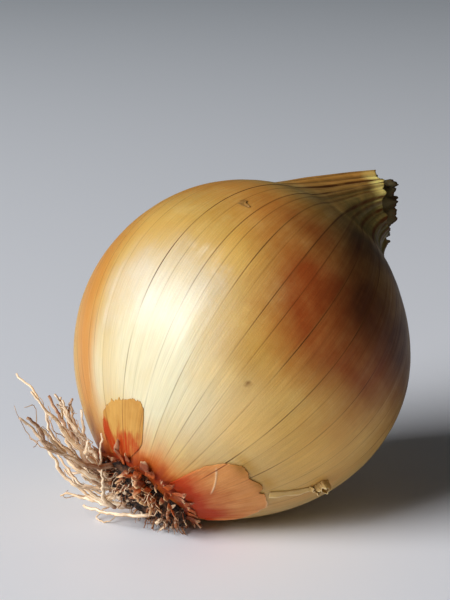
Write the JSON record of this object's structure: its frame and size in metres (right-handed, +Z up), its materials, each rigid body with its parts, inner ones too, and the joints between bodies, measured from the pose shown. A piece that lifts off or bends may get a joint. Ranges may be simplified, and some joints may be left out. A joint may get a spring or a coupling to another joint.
{
  "type": "yellow onion",
  "caption": "Whole yellow onion in its dry golden skin, lying on its side, with a twisted dry neck, torn scraps of older skin and a tuft of dead roots",
  "frame": {"origin": "on the flat spot that the bulb rests on, right below the bulb's centre", "axes": "+Z up; the root end points down to the left and the front (-X, -Y), and the neck up to the right and the back"},
  "size_m": [0.0889, 0.0765, 0.0746],
  "materials": {
    "onion_skin": "satin",
    "dead_root": "matte",
    "root_cork": "matte",
    "old_skin": "satin",
    "rust_skin": "satin",
    "neck_core": "matte"
  },
  "bodies": {
    "root": {"bulb": "onion_skin", "root_tuft": "dead_root", "skin_flap": "old_skin", "skin_patch": "rust_skin"}
  },
  "joints": []
}
